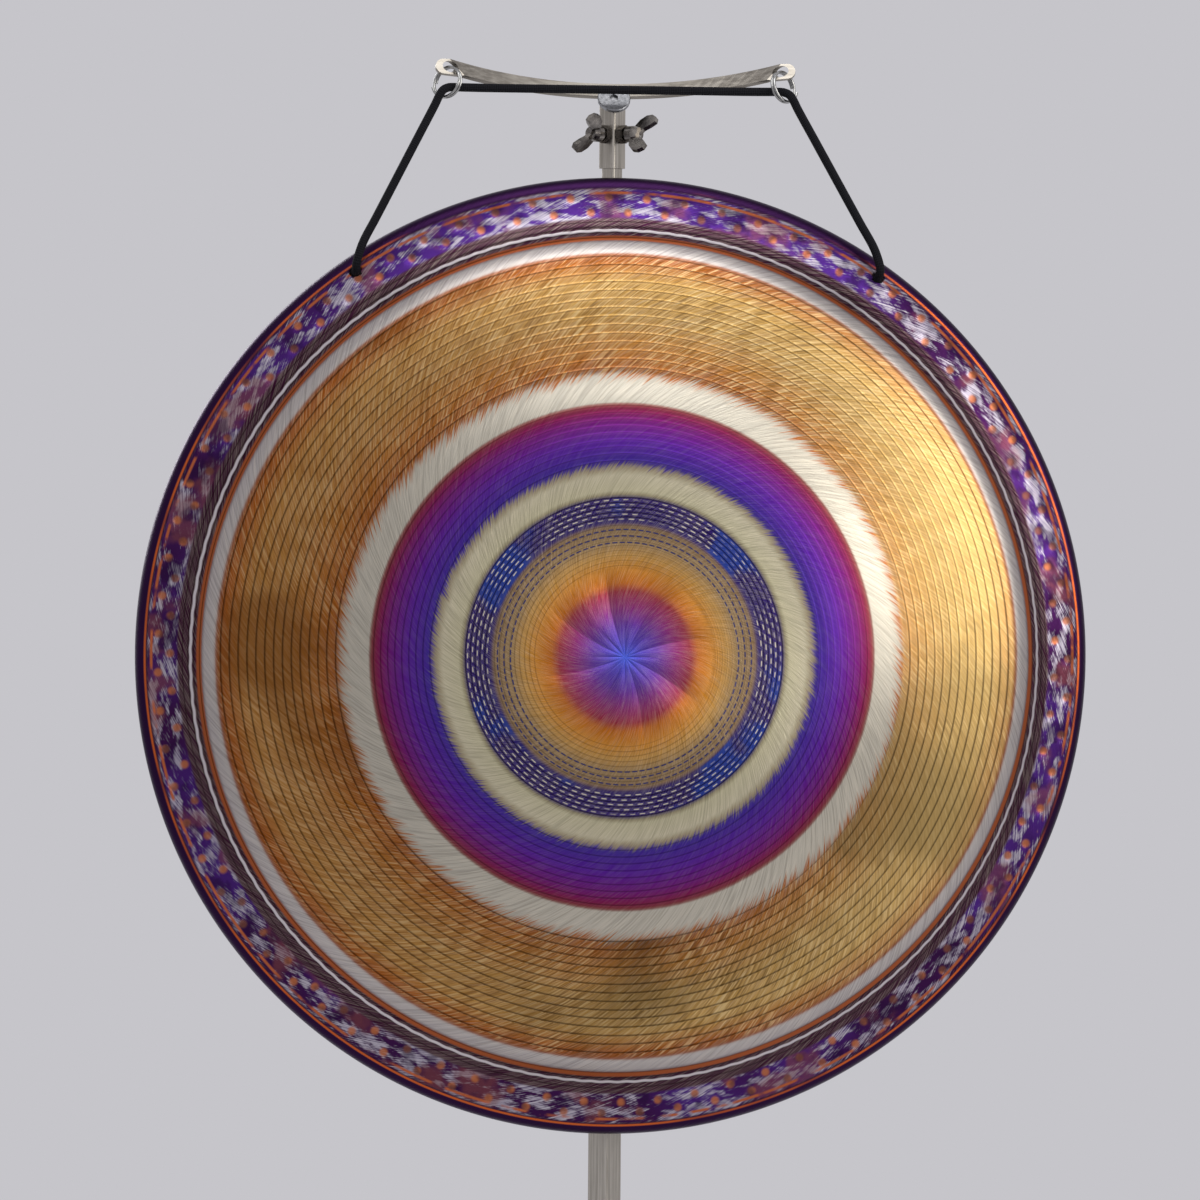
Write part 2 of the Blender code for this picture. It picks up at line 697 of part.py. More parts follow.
def head_sleeve(parent):
    """A short square sleeve with a solid top, cut on a slope where the bar is bolted on."""
    outline = rounded_square(SLEEVE_SIDE, TUBE_CORNER)
    sleeve = prism("head_sleeve", outline, -SLEEVE_BELOW_BOLT, SLEEVE_ABOVE_BOLT, stainless("sleeve_steel"))
    attach(sleeve, parent, Vector((0.0, 0.0, BOLT_Z)))
    sleeve.rotation_euler.z = pi / 4
    into = Matrix.Rotation(-pi / 4, 3, "Z")
    bore_side = SLEEVE_SIDE - 2 * SLEEVE_WALL
    bore = prism(
        "head_sleeve_bore", rounded_square(bore_side, TUBE_CORNER - SLEEVE_WALL),
        -SLEEVE_BELOW_BOLT - CUT_MARGIN, -PLUG_BELOW_BOLT,
    )
    boolean(sleeve, bore, "DIFFERENCE")
    reach = SLEEVE_SIDE * 2
    slope = prism("head_sleeve_slope", rounded_square(reach, TUBE_CORNER), 0.0, reach)
    slope.rotation_mode = "QUATERNION"
    slope.rotation_quaternion = (into @ BAR_NORMAL).to_track_quat("Z", "Y")
    slope.location = into @ Vector((0.0, -BOLT_FORWARD, 0.0))
    boolean(sleeve, slope, "DIFFERENCE")
    bolt_depth = BOLT_SHANK_LENGTH - BAR_THICKNESS
    start = into @ (Vector((0.0, -BOLT_FORWARD, 0.0)) - BAR_NORMAL * bolt_depth)
    drill(sleeve, BOLT_SHANK_RADIUS + THREAD_CLEARANCE, start, into @ BAR_NORMAL, bolt_depth + reach / 2)
    for turn in (-pi / 4, -3 * pi / 4):
        outward = into @ Vector((cos(turn), sin(turn), 0.0))
        place = Vector((0.0, 0.0, -HEAD_SCREW_BELOW_BOLT))
        drill(sleeve, SCREW_RADIUS + THREAD_CLEARANCE, place, outward, SLEEVE_SIDE)
    return sleeve


def hanger_bolt(parent):
    """A wide flat head with a hexagon socket, and a plain shank for the thread."""
    edge = BOLT_HEAD_EDGE
    profile = [
        (0.0, -BOLT_SHANK_LENGTH),
        (BOLT_SHANK_RADIUS, -BOLT_SHANK_LENGTH),
        (BOLT_SHANK_RADIUS, 0.0),
        (BOLT_HEAD_RADIUS, 0.0),
        (BOLT_HEAD_RADIUS, BOLT_HEAD_THICKNESS - edge),
        (BOLT_HEAD_RADIUS - edge, BOLT_HEAD_THICKNESS),
        (0.0, BOLT_HEAD_THICKNESS),
    ]
    bolt = lathe("hanger_bolt", profile, CIRCLE_SEGMENTS, stainless("bolt_steel"))
    under_head = 2 * SEAT_GAP + BAR_THICKNESS
    attach(bolt, parent, BOLT_POINT + BAR_NORMAL * under_head)
    bolt.rotation_mode = "QUATERNION"
    bolt.rotation_quaternion = BAR_NORMAL.to_track_quat("Z", "Y")
    socket = prism(
        "hanger_bolt_socket", hexagon(BOLT_SOCKET_ACROSS),
        BOLT_HEAD_THICKNESS - BOLT_SOCKET_DEPTH, BOLT_HEAD_THICKNESS + CUT_MARGIN,
    )
    boolean(bolt, socket, "DIFFERENCE")
    return bolt


def wing_outline():
    """The outline of both wings, as (sideways, along the screw) from the end of the boss's foot."""
    ear = [
        (0.0, WING_START),
        (0.36 * WING_REACH, WING_START + 0.02 * WING_HEIGHT),
        (0.72 * WING_REACH, WING_START + 0.16 * WING_HEIGHT),
        (0.96 * WING_REACH, WING_START + 0.42 * WING_HEIGHT),
        (1.00 * WING_REACH, WING_START + 0.70 * WING_HEIGHT),
        (0.86 * WING_REACH, WING_START + 0.95 * WING_HEIGHT),
        (0.62 * WING_REACH, WING_START + 1.00 * WING_HEIGHT),
        (0.42 * WING_REACH, WING_START + 0.80 * WING_HEIGHT),
        (0.22 * WING_REACH, WING_START + 0.52 * WING_HEIGHT),
        (0.0, WING_START + 0.42 * WING_HEIGHT),
    ]
    return ear + [(-x, y) for x, y in ear[-2:0:-1]]


def wing_screw(name, turn, inner_half, outer_half, height, twist, parent):
    """A wing screw whose tip presses on a tube's face, pointing out at the given turn about the mast."""
    outward = Vector((cos(turn), sin(turn), 0.0))
    tip = inner_half + SEAT_GAP
    foot = outer_half + SEAT_GAP + NUT_THICKNESS + SCREW_SHOWN
    profile = [
        (0.0, tip - foot),
        (SCREW_RADIUS, tip - foot),
        (SCREW_RADIUS, 0.0),
        (BOSS_RADIUS, 0.0),
        (BOSS_RADIUS, 0.55 * BOSS_LENGTH),
        (0.80 * BOSS_RADIUS, BOSS_LENGTH),
        (0.0, BOSS_LENGTH),
    ]
    screw = lathe(name, profile, CIRCLE_SEGMENTS, dark_steel(name + "_steel"))
    attach(screw, parent, outward * foot + Vector((0.0, 0.0, height)))
    screw.rotation_mode = "QUATERNION"
    spin = Matrix.Rotation(twist, 3, "Z").to_quaternion()
    screw.rotation_quaternion = outward.to_track_quat("Z", "Y") @ spin
    wings = prism(name + "_wings", wing_outline(), -WING_THICKNESS / 2, WING_THICKNESS / 2)
    wings.rotation_euler.x = pi / 2
    boolean(screw, wings, "UNION")
    return screw


def screw_nut(name, turn, outer_half, height, parent):
    """A hexagon nut welded to a tube's face round the screw."""
    outward = Vector((cos(turn), sin(turn), 0.0))
    nut = hollow_prism(
        name, hexagon(NUT_ACROSS_FLATS), circle(SCREW_RADIUS + THREAD_CLEARANCE),
        0.0, NUT_THICKNESS, dark_steel(name + "_steel"),
    )
    attach(nut, parent, outward * (outer_half + SEAT_GAP) + Vector((0.0, 0.0, height)))
    nut.rotation_mode = "QUATERNION"
    nut.rotation_quaternion = outward.to_track_quat("Z", "Y")
    return nut


def clamped_tube(name, side, wall, low, high, inner_side, finish, parent):
    """A mast tube with a screw hole near its top, and that hole's nut and wing screw on the back right."""
    tube = square_tube(name, side, wall, low, high, finish)
    attach(tube, parent, Vector((0.0, 0.0, 0.0)))
    height = high - CLAMP_BELOW_TOP
    drill(tube, SCREW_RADIUS + THREAD_CLEARANCE, Vector((0.0, 0.0, height)), (1, 0, 0), side)
    return height, inner_side / 2, side / 2


def foot(turn, index):
    """A round rubber foot with a stem that is pushed into the leg."""
    stem_top = FOOT_HEIGHT + FOOT_STEM_LENGTH
    profile = [
        (0.0, 0.0),
        (FOOT_RADIUS, 0.0),
        (FOOT_RADIUS, 0.3 * FOOT_HEIGHT),
        (FOOT_WAIST, FOOT_HEIGHT),
        (FOOT_STEM_RADIUS, FOOT_HEIGHT),
        (FOOT_STEM_RADIUS, stem_top),
        (0.0, stem_top),
    ]
    made = lathe(f"foot_{index}", profile, CIRCLE_SEGMENTS, black_rubber(f"foot_{index}_rubber"))
    place = LEG_REACH - FOOT_FROM_END
    attach(made, None, Vector((place * cos(turn), place * sin(turn), 0.0)))
    return made


def leg(turn, index):
    """A square tube leg that lies on the base plate and butts against the hub."""
    outer = rounded_square(LEG_SIDE, TUBE_CORNER)
    inner = rounded_square(LEG_SIDE - 2 * LEG_WALL, TUBE_CORNER - LEG_WALL / 2)
    start = HUB_SIDE / 2 + SEAT_GAP
    made = hollow_prism(f"leg_{index}", outer, inner, start, LEG_REACH, stainless(f"leg_{index}_steel"))
    height = PLATE_TOP + SEAT_GAP + LEG_SIDE / 2
    attach(made, None, Vector((0.0, 0.0, height)))
    made.rotation_euler = (pi / 2, 0.0, turn + pi / 2)
    hole = LEG_SIDE / 2 + CUT_MARGIN
    bolt_radius = SCREW_RADIUS + THREAD_CLEARANCE
    drill(made, bolt_radius, Vector((0.0, -hole, LEG_BOLT_AT)), (0, 1, 0), 2 * hole)
    stem = Vector((0.0, -hole, LEG_REACH - FOOT_FROM_END))
    drill(made, FOOT_STEM_RADIUS + THREAD_CLEARANCE, stem, (0, 1, 0), hole)
    return made


def leg_cap(turn, index):
    """A plastic plug that closes the leg's outer end."""
    flange = prism(
        f"leg_cap_{index}", rounded_square(LEG_SIDE, TUBE_CORNER), 0.0, CAP_FLANGE,
        black_rubber(f"leg_cap_{index}_plastic"),
    )
    insert_side = LEG_SIDE - 2 * (LEG_WALL + TUBE_CLEARANCE)
    insert = prism(
        f"leg_cap_{index}_insert", rounded_square(insert_side, TUBE_CORNER / 2), -CAP_INSERT, CAP_FLANGE / 2
    )
    boolean(flange, insert, "UNION")
    place = LEG_REACH + SEAT_GAP
    height = PLATE_TOP + SEAT_GAP + LEG_SIDE / 2
    attach(flange, None, Vector((place * cos(turn), place * sin(turn), height)))
    flange.rotation_euler = (pi / 2, 0.0, turn + pi / 2)
    return flange


def leg_fastener(turn, index):
    """The bolt down through a leg and the base plate, and the nut below."""
    leg_top = PLATE_TOP + SEAT_GAP + LEG_SIDE
    nut_top = PLATE_TOP - BASE_PLATE_THICKNESS - SEAT_GAP
    place = Vector((LEG_BOLT_AT * cos(turn), LEG_BOLT_AT * sin(turn), leg_top + SEAT_GAP))
    head = hexagon(NUT_ACROSS_FLATS)
    bolt = prism(f"leg_bolt_{index}", head, 0.0, LEG_BOLT_HEAD, dark_steel(f"leg_bolt_{index}_steel"))
    shank_end = nut_top - NUT_THICKNESS - place.z
    shank = prism(f"leg_bolt_{index}_shank", circle(SCREW_RADIUS), shank_end, LEG_BOLT_HEAD / 2)
    boolean(bolt, shank, "UNION")
    attach(bolt, None, place)
    nut = hollow_prism(
        f"leg_nut_{index}", hexagon(NUT_ACROSS_FLATS), circle(SCREW_RADIUS + THREAD_CLEARANCE),
        0.0, NUT_THICKNESS, dark_steel(f"leg_nut_{index}_steel"),
    )
    attach(nut, None, Vector((place.x, place.y, nut_top - NUT_THICKNESS)))


def base_plate():
    plate = prism(
        "base_plate", rounded_square(BASE_PLATE_SIDE, BASE_PLATE_CORNER),
        PLATE_TOP - BASE_PLATE_THICKNESS, PLATE_TOP, stainless("base_plate_steel"),
    )
    plate.rotation_euler.z = pi / 4
    for index in range(LEG_COUNT):
        turn = 2 * pi * index / LEG_COUNT
        start = Vector((LEG_BOLT_AT * cos(turn), LEG_BOLT_AT * sin(turn), 0.0))
        drill(plate, SCREW_RADIUS + THREAD_CLEARANCE, start, (0, 0, 1), PLATE_TOP + CUT_MARGIN)


def base():
    """The cross-shaped base: hub, base plate, legs, feet, caps and fasteners."""
    base_plate()
    for index in range(LEG_COUNT):
        turn = pi / 4 + 2 * pi * index / LEG_COUNT
        leg(turn, index + 1)
        leg_cap(turn, index + 1)
        leg_fastener(turn, index + 1)
        foot(turn, index + 1)
    return clamped_tube(
        "base_hub", HUB_SIDE, HUB_WALL, HUB_BOTTOM, HUB_TOP, LOWER_SIDE, stainless("hub_steel"), None
    )


def clamp_screw(name, clamp, turn, parent, screw_parent=None):
    """The nut and the wing screw of one clamp."""
    height, inner_half, outer_half = clamp
    screw_nut(name + "_nut", turn, outer_half, height, parent)
    holder = empty_at(name + "_screw_axis", (0.0, 0.0, height), parent)
    wing_screw(name + "_wing_screw", turn, inner_half, outer_half, height, WING_TWIST, holder)


def mast():
    """The three tubes of the mast, each on the empty that stands for its slide."""
    hub_clamp = base()
    clamp_screw("base", hub_clamp, BACK_RIGHT, None)
    lower = clamped_tube(
        "mast_lower_tube", LOWER_SIDE, LOWER_WALL, HUB_BOTTOM, LOWER_TOP, MIDDLE_SIDE,
        stainless("lower_tube_steel"), None,
    )
    clamp_screw("lower", lower, BACK_RIGHT, None)
    middle_slide = empty_at("middle_slide", (0.0, 0.0, LOWER_TOP))
    middle = clamped_tube(
        "mast_middle_tube", MIDDLE_SIDE, MIDDLE_WALL, MIDDLE_BOTTOM, MIDDLE_TOP, UPPER_SIDE,
        stainless("middle_tube_steel"), middle_slide,
    )
    clamp_screw("middle", middle, BACK_RIGHT, middle_slide)
    upper_slide = empty_at("upper_slide", (0.0, 0.0, MIDDLE_TOP), middle_slide)
    upper = square_tube(
        "mast_upper_tube", UPPER_SIDE, UPPER_WALL, UPPER_BOTTOM, UPPER_TOP, stainless("upper_tube_steel")
    )
    attach(upper, upper_slide, Vector((0.0, 0.0, 0.0)))
    return upper_slide


def head(upper_slide):
    """The sleeve on the mast's top with its clamp screws, and the bar bolted to its slope."""
    slide = empty_at("head_slide", (0.0, 0.0, UPPER_TOP), upper_slide)
    head_sleeve(slide)
    hanger_bar(slide)
    hanger_bolt(slide)
    for name, turn, twist in (
        ("head_left", FRONT_LEFT, HEAD_LEFT_TWIST),
        ("head_right", FRONT_RIGHT, HEAD_RIGHT_TWIST),
    ):
        screw_nut(name + "_nut", turn, SLEEVE_SIDE / 2, HEAD_SCREW_Z, slide)
        holder = empty_at(name + "_screw_axis", (0.0, 0.0, HEAD_SCREW_Z), slide)
        wing_screw(name + "_wing_screw", turn, UPPER_SIDE / 2, SLEEVE_SIDE / 2, HEAD_SCREW_Z, twist, holder)
    return slide


def hanging(slide):
    """The split rings, and below them the gong on its cord."""
    hole = tab_hole(1)
    ring_hinge = empty_at("ring_hinge", (0.0, hole.y, hole.z), slide)
    for side in (-1, 1):
        split_ring(side, ring_hinge)
    gong_hinge = empty_at("gong_hinge", cord_pivot(), ring_hinge)
    gong_plate(gong_hinge)
    suspension_cord(gong_hinge)
    for side in (-1, 1):
        cord_knot(side, gong_hinge)


def build():
    clear_scene()
    hanging(head(mast()))


build()
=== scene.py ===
"""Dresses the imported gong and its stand, and sets the camera, the lights and the floor."""

from math import ceil, cos, pi, radians, sin, sqrt

import bmesh
import bpy
import numpy as np
from mathutils import Matrix, Vector


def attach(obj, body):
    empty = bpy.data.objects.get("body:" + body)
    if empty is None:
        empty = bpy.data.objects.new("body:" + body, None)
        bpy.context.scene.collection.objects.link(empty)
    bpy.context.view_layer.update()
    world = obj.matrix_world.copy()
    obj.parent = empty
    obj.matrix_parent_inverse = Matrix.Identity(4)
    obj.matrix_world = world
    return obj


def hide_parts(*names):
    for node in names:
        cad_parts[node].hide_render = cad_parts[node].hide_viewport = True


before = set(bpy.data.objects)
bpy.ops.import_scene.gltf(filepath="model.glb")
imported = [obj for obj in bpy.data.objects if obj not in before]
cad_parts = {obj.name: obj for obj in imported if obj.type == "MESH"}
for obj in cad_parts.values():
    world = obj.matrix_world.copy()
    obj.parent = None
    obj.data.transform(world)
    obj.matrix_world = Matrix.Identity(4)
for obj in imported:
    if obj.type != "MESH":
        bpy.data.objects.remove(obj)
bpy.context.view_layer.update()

UP = Vector((0.0, 0.0, 1.0))
MM = 0.001

# Camera
CAMERA_AZIMUTH = radians(-6.0)
CAMERA_ELEVATION = radians(0.2)
CAMERA_ROLL = radians(0.44)
CAMERA_DISTANCE = 4.5
CAMERA_AIM = Vector((-0.0087, -0.030, 0.985))
FRAME_WIDTH = 0.7525
SENSOR_WIDTH = 36.0

# Gong plate
GONG_CENTRE = Vector((0.0, -0.03867, 0.950))
GONG_RADIUS = 0.2998
PLATE_THICKNESS = 0.0015
SHOULDER_RADIUS = 0.008
RIM_DEPTH = 0.028
RIM_TAPER = 0.0035
FACE_BANDS = ((0.018, 0.0035), (0.023, 0.0175), (0.077, 0.0210), (0.018, 0.0050), (0.038, 0.0070))
CENTRE_RISE = 0.0060
GONG_SEGMENTS = 720
FACE_RING_SPACING = 0.0009
BACK_RINGS = 50

# Cord
CORD_DIAMETER = 0.0054
CORD_HOLE = Vector((0.1645, -0.03867, 1.18883))
CORD_HOLE_RADIUS = 0.0033
CORD_RUN_Y = -0.018957
CORD_RUN_Z = 1.305699
RING_X = 0.106766
CORD_OUT = 0.0110
CORD_SHOULDER_GAP = 0.0010
CORD_BACK_END = 0.0018
CORD_BEND_ROUTE = (
    (0.0074, -0.0073, -0.0106),
    (0.0052, -0.0065, -0.0059),
    (0.0028, -0.0058, -0.0022),
    (-0.0008, -0.0036, -0.0003),
    (-0.0053, -0.0012, 0.0001),
    (-0.0110, -0.0002, 0.0001),
    (-0.0220, 0.0, 0.0),
    (-0.0500, 0.0, 0.0),
)


def rgb(code):
    """Linear colour from a hexadecimal screen colour."""
    parts = [int(code[k : k + 2], 16) / 255 for k in (1, 3, 5)]
    return [p / 12.92 if p <= 0.04045 else ((p + 0.055) / 1.055) ** 2.4 for p in parts] + [1.0]


class Graph:
    """Builds a material's nodes."""

    def __init__(self, name):
        self.material = bpy.data.materials.new(name)
        self.material.use_nodes = True
        self.tree = self.material.node_tree
        self.shader = self.tree.nodes["Principled BSDF"]

    def put(self, value, socket):
        if isinstance(value, bpy.types.NodeSocket):
            self.tree.links.new(value, socket)
        elif value is not None:
            socket.default_value = value

    def set(self, **values):
        for name, value in values.items():
            self.put(value, self.shader.inputs[name.replace("_", " ")])
        return self

    def node(self, kind, *inputs, **settings):
        made = self.tree.nodes.new(kind)
        for name, value in settings.items():
            setattr(made, name, value)
        for socket, value in zip(made.inputs, inputs):
            self.put(value, socket)
        return made

    def math(self, operation, a, b=None, c=None):
        return self.node("ShaderNodeMath", a, b, c, operation=operation).outputs[0]

    def mix(self, factor, a, b, blend_type="MIX"):
        made = self.tree.nodes.new("ShaderNodeMix")
        made.data_type = "RGBA"
        made.blend_type = blend_type
        self.put(factor, made.inputs[0])
        self.put(a, made.inputs[6])
        self.put(b, made.inputs[7])
        return made.outputs[2]

    def step(self, value, low, high):
        """0 below low, 1 above high, smooth between."""
        made = self.node("ShaderNodeMapRange", value, low, high, 0.0, 1.0, interpolation_type="SMOOTHSTEP")
        return made.outputs[0]

    def between(self, value, low, high, edge):
        return self.math("MULTIPLY", self.step(value, low - edge, low + edge),
                         self.math("SUBTRACT", 1.0, self.step(value, high - edge, high + edge)))

    def ramp(self, value, stops):
        made = self.tree.nodes.new("ShaderNodeValToRGB")
        self.put(value, made.inputs[0])
        elements = made.color_ramp.elements
        for k, (place, code) in enumerate(stops):
            element = elements[k] if k < 2 else elements.new(place)
            element.position = place
            element.color = rgb(code)
        return made.outputs[0]

    def noise(self, vector, scale, detail=2.0, roughness=0.5):
        made = self.tree.nodes.new("ShaderNodeTexNoise")
        self.put(vector, made.inputs["Vector"])
        made.inputs["Scale"].default_value = scale
        made.inputs["Detail"].default_value = detail
        made.inputs["Roughness"].default_value = roughness
        return made.outputs[0]

    def combine(self, x, y, z):
        return self.node("ShaderNodeCombineXYZ", x, y, z).outputs[0]

    def place(self):
        return self.tree.nodes.new("ShaderNodeTexCoord").outputs["Object"]

    def split(self, vector):
        return self.node("ShaderNodeSeparateXYZ", vector).outputs

    def bump(self, height, distance, strength=1.0):
        made = self.tree.nodes.new("ShaderNodeBump")
        made.inputs["Distance"].default_value = distance
        made.inputs["Strength"].default_value = strength
        self.put(height, made.inputs["Height"])
        return made.outputs[0]


def make_camera():
    forward = Vector((
        -sin(CAMERA_AZIMUTH) * cos(CAMERA_ELEVATION),
        cos(CAMERA_AZIMUTH) * cos(CAMERA_ELEVATION),
        -sin(CAMERA_ELEVATION),
    ))
    right = forward.cross(UP).normalized()
    up = right.cross(forward)
    across = right * cos(CAMERA_ROLL) + up * sin(CAMERA_ROLL)
    above = up * cos(CAMERA_ROLL) - right * sin(CAMERA_ROLL)
    data = bpy.data.cameras.new("camera")
    data.sensor_width = SENSOR_WIDTH
    data.lens = SENSOR_WIDTH * CAMERA_DISTANCE / FRAME_WIDTH
    data.clip_start, data.clip_end = 0.05, 60.0
    camera = bpy.data.objects.new("camera", data)
    bpy.context.collection.objects.link(camera)
    turn = Matrix((across, above, -forward)).transposed().to_4x4()
    camera.matrix_world = Matrix.Translation(CAMERA_AIM - forward * CAMERA_DISTANCE) @ turn
    bpy.context.scene.camera = camera


def mesh_piece(name, points, faces, material, smooth_angle=40.0):
    """A closed, smooth-shaded mesh object with its normals pointing out."""
    mesh = bpy.data.meshes.new(name)
    mesh.from_pydata(points, [], faces)
    work = bmesh.new()
    work.from_mesh(mesh)
    bmesh.ops.recalc_face_normals(work, faces=work.faces)
    work.to_mesh(mesh)
    work.free()
    mesh.shade_smooth()
    if smooth_angle < 180.0:
        mesh.set_sharp_from_angle(angle=radians(smooth_angle))
    mesh.materials.append(material)
    obj = bpy.data.objects.new(name, mesh)
    bpy.context.collection.objects.link(obj)
    return obj


def grid_faces(rows, columns):
    """Quads of a grid that closes round its columns."""
    a = (np.arange(rows - 1)[:, None] * columns + np.arange(columns)[None]).ravel()
    b = (np.arange(rows - 1)[:, None] * columns + np.roll(np.arange(columns), -1)[None]).ravel()
    return np.stack([a, b, b + columns, a + columns], axis=1)


def through(route, spacing):
    """Evenly spaced points on a smooth curve through the route's points."""
    padded = [2 * route[0] - route[1]] + list(route) + [2 * route[-1] - route[-2]]
    fine = []
    for k in range(1, len(padded) - 2):
        a, b, c, d = padded[k - 1 : k + 3]
        ta, tb, tc = (sqrt((q - p).length) for p, q in ((a, b), (b, c), (c, d)))
        start = ((b - a) / ta - (c - a) / (ta + tb) + (c - b) / tb) * tb
        end = ((c - b) / tb - (d - b) / (tb + tc) + (d - c) / tc) * tb
        for step in range(16):
            t = step / 16
            fine.append(
                b * (2 * t**3 - 3 * t**2 + 1) + start * (t**3 - 2 * t**2 + t)
                + c * (3 * t**2 - 2 * t**3) + end * (t**3 - t**2)
            )
    fine.append(route[-1])
    travel = np.concatenate([[0.0], np.cumsum([(q - p).length for p, q in zip(fine, fine[1:])])])
    found = []
    for target in np.linspace(0.0, travel[-1], ceil(travel[-1] / spacing) + 1):
        k = min(int(np.searchsorted(travel, target, side="right")) - 1, len(fine) - 2)
        share = (target - travel[k]) / (travel[k + 1] - travel[k])
        found.append(fine[k].lerp(fine[k + 1], float(share)))
    return found


def cord_route():
    corner = Vector((RING_X, CORD_RUN_Y, CORD_RUN_Z))
    bend = CORD_OUT - CORD_SHOULDER_GAP
    low = CORD_HOLE + Vector((0.0, -CORD_OUT, bend))
    top = corner + Vector(CORD_BEND_ROUTE[0])
    half = [CORD_HOLE + Vector((0.0, CORD_BACK_END, 0.0))]
    for turn in (0.0, 30.0, 60.0):
        forward = CORD_SHOULDER_GAP + bend * sin(radians(turn))
        half.append(CORD_HOLE + Vector((0.0, -forward, bend * (1 - cos(radians(turn))))))
    half += [top.lerp(low, share) for share in (0.93, 0.75, 0.55, 0.35, 0.20)]
    half += [corner + Vector(offset) for offset in CORD_BEND_ROUTE]
    left = [Vector((-p.x, p.y, p.z)) for p in half]
    return left + [Vector((0.0, CORD_RUN_Y, CORD_RUN_Z))] + half[::-1]


def cord_material():
    g = Graph("cord_braid")
    uv = g.tree.nodes.new("ShaderNodeTexCoord").outputs["UV"]
    u, v, _ = g.split(uv)
    first = g.math("SINE", g.math("MULTIPLY", g.math("ADD", g.math("MULTIPLY", u, 8.0), v), 2 * pi))
    second = g.math("SINE", g.math("MULTIPLY", g.math("SUBTRACT", g.math("MULTIPLY", u, 8.0), v), 2 * pi))
    weave = g.math("MULTIPLY", first, second)
    level = g.math("MULTIPLY_ADD", weave, 0.5, 0.5)
    colour = g.mix(level, rgb("#020204"), rgb("#101018"))
    g.set(Base_Color=colour, Roughness=0.8, Specular_IOR_Level=0.2, Normal=g.bump(weave, 0.00025))
    return g.material


def suspension_cord():
    """The cord as a braided tube along the same route as its solid."""
    sides, strand_pitch = 20, 0.0028
    path = through(cord_route(), 0.0016)
    points, uvs = [], []
    side = Vector((0.0, -1.0, 0.0))
    travelled = 0.0
    for k, p in enumerate(path):
        ahead = (path[min(k + 1, len(path) - 1)] - path[max(k - 1, 0)]).normalized()
        side = (side - ahead * side.dot(ahead)).normalized()
        other = ahead.cross(side)
        if k:
            travelled += (p - path[k - 1]).length
        for j in range(sides):
            turn = 2 * pi * j / sides
            points.append(tuple(p + (side * cos(turn) + other * sin(turn)) * (CORD_DIAMETER / 2)))
            uvs.append((j / sides, travelled / strand_pitch))
    faces = [tuple(f) for f in grid_faces(len(path), sides)]
    faces += [tuple(range(sides))[::-1], tuple(range(len(points) - sides, len(points)))]
    cord = mesh_piece("braided_cord", points, faces, cord_material())
    layer = cord.data.uv_layers.new(name="along")
    for loop in cord.data.loops:
        layer.data[loop.index].uv = uvs[loop.vertex_index]
    for face in cord.data.polygons:
        if len(face.loop_indices) == 4 and max(v % sides for v in face.vertices) == sides - 1:
            if min(v % sides for v in face.vertices) == 0:
                for index in face.loop_indices:
                    if cord.data.loops[index].vertex_index % sides == 0:
                        layer.data[index].uv.x = 1.0
    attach(cord, "gong")
    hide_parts("suspension_cord")


def face_stations():
    radius, rise = GONG_RADIUS - SHOULDER_RADIUS, 0.0
    stations = [(radius, rise)]
    for width, climb in FACE_BANDS:
        radius, rise = radius - width, rise + climb
        stations.append((radius, rise))
    stations.append((0.0, rise + CENTRE_RISE))
    return stations[::-1]


def face_rise(r):
    """The plain height of the face at radius r, as an array."""
    x, y = (np.array(v) for v in zip(*face_stations()))
    secant = np.diff(y) / np.diff(x)
    slope = np.zeros(len(x))
    for k in range(1, len(x) - 1):
        a, b = secant[k - 1], secant[k]
        slope[k] = 0.0 if a * b <= 0 else 2 * a * b / (a + b)
    k = np.clip(np.searchsorted(x, r, side="right") - 1, 0, len(x) - 2)
    w = x[k + 1] - x[k]
    t = (r - x[k]) / w
    return (
        (2 * t**3 - 3 * t**2 + 1) * y[k] + (t**3 - 2 * t**2 + t) * w * slope[k]
        + (3 * t**2 - 2 * t**3) * y[k + 1] + (t**3 - t**2) * w * slope[k + 1]
    )


def inside(r, low, high, edge):
    return np.clip((r - low) / edge, 0, 1) * np.clip((high - r) / edge, 0, 1)


# Radii of the bands, in millimetres
ROSETTE_EDGE = 55.0
DASHES_FROM = 83.0
DASHES_TO = 99.0
PURPLE_FROM = 119.0
PURPLE_TO = 157.0
GOLD_FROM = 176.0
GOLD_TO = 251.0
TRIM_FROM = 259.5
HAMMERED_FROM = 273.0
HAMMERED_TO = 292.0
GOLD_PITCH = 5.4
PURPLE_PITCH = 4.3
TRIM_PITCH = 3.4
CENTRE_PITCH = 3.1
DIMPLES = 75
DIMPLE_ROWS = (278.5, 286.5)
DIMPLE_RADIUS = 4.6
ROSETTE_PETALS = 8


